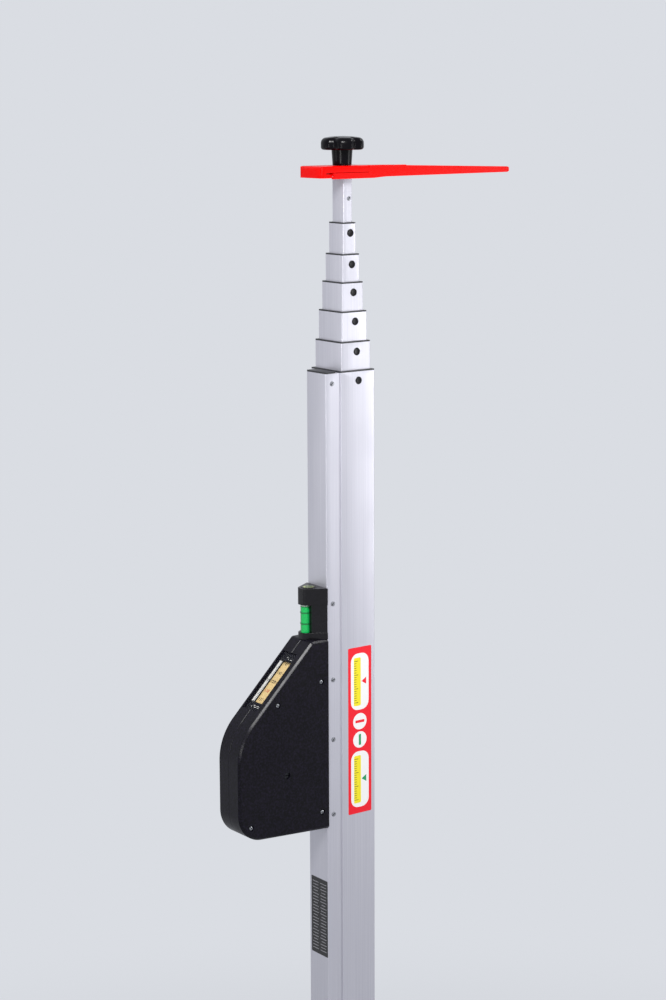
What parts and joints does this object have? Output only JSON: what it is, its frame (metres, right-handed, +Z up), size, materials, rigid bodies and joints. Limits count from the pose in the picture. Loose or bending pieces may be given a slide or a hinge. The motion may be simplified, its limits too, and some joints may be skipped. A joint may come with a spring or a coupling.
{
  "type": "pole vault height measuring device",
  "caption": "Telescopic rectangular measuring pole with side reel housing, reading window, level, lock buttons and a clamped red pointer, shown closed.",
  "frame": {"origin": "centre of the tube stack on the ground, at the underside of the rubber foot", "axes": "+Z up along the pole, front face with the lock buttons towards -Y, pointer tip towards +X"},
  "size_m": [0.3193, 0.0486, 1.4082],
  "materials": {
    "mast_aluminium": "anodised satin",
    "tube_aluminium": "anodised satin",
    "black_polyamide": "moulded matt",
    "foot_polyamide": "moulded matt",
    "foot_rubber": "matt",
    "zinc_screw": "zinc plated",
    "axle_steel": "ground",
    "housing_abs": "fine spark texture",
    "window_acrylic": "clear",
    "index_white": "printed",
    "tape_lacquer": "yellow lacquer",
    "vial_acrylic": "green liquid in clear acrylic",
    "bullseye_acrylic": "clear dome over yellow green liquid",
    "red_sticker": "printed film",
    "black_sticker": "printed film",
    "drum_abs": "moulded",
    "spring_steel": "blued strip",
    "roller_acetal": "turned",
    "button_plastic": "moulded",
    "pointer_paint": "red powder coat",
    "knob_phenolic": "polished",
    "insert_brass": "turned"
  },
  "bodies": {
    "mast": {"body_profile": "mast_aluminium", "body_collar": "black_polyamide", "channel_cap": "black_polyamide", "channel_screws": "zinc_screw", "foot_cap": "foot_polyamide", "foot_pad": "foot_rubber", "return_roller_pin": "axle_steel", "housing_front": "housing_abs", "housing_rear": "housing_abs", "housing_screws": "zinc_screw", "reel_axle": "axle_steel", "guide_roller_pins": "axle_steel", "window_lens": "window_acrylic", "index_strip": "index_white", "window_tape": "tape_lacquer", "channel_tape": "tape_lacquer", "level_holder": "housing_abs", "tubular_vial": "vial_acrylic", "bullseye_vial": "bullseye_acrylic", "red_label": "red_sticker", "black_label": "black_sticker"},
    "reel": {"reel_drum": "drum_abs", "tape_coil": "tape_lacquer", "return_spring": "spring_steel"},
    "roller_window_low": {"roller_window_low": "roller_acetal"},
    "roller_window_high": {"roller_window_high": "roller_acetal"},
    "roller_channel": {"roller_channel": "roller_acetal"},
    "return_roller": {"return_roller": "roller_acetal"},
    "tube_6": {"tube_6": "tube_aluminium", "collar_6": "black_polyamide", "guide_foot_6": "foot_polyamide"},
    "tube_5": {"tube_5": "tube_aluminium", "collar_5": "black_polyamide", "guide_foot_5": "foot_polyamide"},
    "tube_4": {"tube_4": "tube_aluminium", "collar_4": "black_polyamide", "guide_foot_4": "foot_polyamide"},
    "tube_3": {"tube_3": "tube_aluminium", "collar_3": "black_polyamide", "guide_foot_3": "foot_polyamide"},
    "tube_2": {"tube_2": "tube_aluminium", "collar_2": "black_polyamide", "guide_foot_2": "foot_polyamide"},
    "tube_1": {"tube_1": "tube_aluminium", "guide_foot_1": "foot_polyamide", "end_plug": "foot_polyamide", "end_plug_screw": "zinc_screw", "clamp_stud": "axle_steel", "tape_end": "tape_lacquer"},
    "button_body": {"button_body": "button_plastic"},
    "button_6": {"button_6": "button_plastic"},
    "button_5": {"button_5": "button_plastic"},
    "button_4": {"button_4": "button_plastic"},
    "button_3": {"button_3": "button_plastic"},
    "button_2": {"button_2": "button_plastic"},
    "pointer": {"pointer": "pointer_paint"},
    "knob": {"knob_head": "knob_phenolic", "knob_insert": "insert_brass"}
  },
  "joints": [
    {"name": "tube_6_slide", "type": "slide", "parent": "mast", "child": "tube_6", "axis": [0, 0, 1], "range_m": [0, 1.1243]},
    {"name": "tube_5_slide", "type": "slide", "parent": "tube_6", "child": "tube_5", "axis": [0, 0, 1], "range_m": [0, 1.1233]},
    {"name": "tube_4_slide", "type": "slide", "parent": "tube_5", "child": "tube_4", "axis": [0, 0, 1], "range_m": [0, 1.1243]},
    {"name": "tube_3_slide", "type": "slide", "parent": "tube_4", "child": "tube_3", "axis": [0, 0, 1], "range_m": [0, 1.1253]},
    {"name": "tube_2_slide", "type": "slide", "parent": "tube_3", "child": "tube_2", "axis": [0, 0, 1], "range_m": [0, 1.1223]},
    {"name": "tube_1_slide", "type": "slide", "parent": "tube_2", "child": "tube_1", "axis": [0, 0, 1], "range_m": [0, 1.1243]},
    {"name": "button_body_press", "type": "slide", "parent": "mast", "child": "button_body", "axis": [0, 1, 0], "range_m": [0, 0.0006], "stiffness_N_per_m": 400},
    {"name": "button_6_press", "type": "slide", "parent": "tube_6", "child": "button_6", "axis": [0, 1, 0], "range_m": [0, 0.0006], "stiffness_N_per_m": 400},
    {"name": "button_5_press", "type": "slide", "parent": "tube_5", "child": "button_5", "axis": [0, 1, 0], "range_m": [0, 0.0006], "stiffness_N_per_m": 400},
    {"name": "button_4_press", "type": "slide", "parent": "tube_4", "child": "button_4", "axis": [0, 1, 0], "range_m": [0, 0.0006], "stiffness_N_per_m": 400},
    {"name": "button_3_press", "type": "slide", "parent": "tube_3", "child": "button_3", "axis": [0, 1, 0], "range_m": [0, 0.0006], "stiffness_N_per_m": 400},
    {"name": "button_2_press", "type": "slide", "parent": "tube_2", "child": "button_2", "axis": [0, 1, 0], "range_m": [0, 0.0006], "stiffness_N_per_m": 400},
    {"name": "pointer_swivel", "type": "hinge", "parent": "tube_1", "child": "pointer", "pos_m": [0, 0, 1.3813], "axis": [0, 0, 1], "continuous": true},
    {"name": "knob_turn", "type": "hinge", "parent": "tube_1", "child": "knob", "pos_m": [0, 0, 1.39], "axis": [0, 0, 1], "range_deg": [0, 360]},
    {"name": "reel_turn", "type": "hinge", "parent": "mast", "child": "reel", "pos_m": [-0.0821, -0.0071, 0.8347], "axis": [0, 1, 0], "range_deg": [0, 1900]},
    {"name": "roller_window_low_turn", "type": "hinge", "parent": "mast", "child": "roller_window_low", "pos_m": [-0.10557, -0.0071, 0.89151], "axis": [0, 1, 0], "range_deg": [0, 15000]},
    {"name": "roller_window_high_turn", "type": "hinge", "parent": "mast", "child": "roller_window_high", "pos_m": [-0.05749, -0.0071, 0.93959], "axis": [0, 1, 0], "range_deg": [0, 15000]},
    {"name": "roller_channel_turn", "type": "hinge", "parent": "mast", "child": "roller_channel", "pos_m": [-0.03535, -0.0071, 0.9435], "axis": [0, 1, 0], "range_deg": [0, 8300]},
    {"name": "return_roller_turn", "type": "hinge", "parent": "mast", "child": "return_roller", "pos_m": [-0.01475, -0.003, 0.027], "axis": [0, 1, 0], "range_deg": [-5100, 0]}
  ],
  "couplings": [
    {"joint": "reel_turn", "follows": "tube_1_slide", "rad_per_m": 28.571},
    {"joint": "roller_window_low_turn", "follows": "tube_1_slide", "rad_per_m": 229.89},
    {"joint": "roller_window_high_turn", "follows": "tube_1_slide", "rad_per_m": 229.89},
    {"joint": "roller_channel_turn", "follows": "tube_1_slide", "rad_per_m": 127.39},
    {"joint": "return_roller_turn", "follows": "tube_1_slide", "rad_per_m": -78.431}
  ]
}
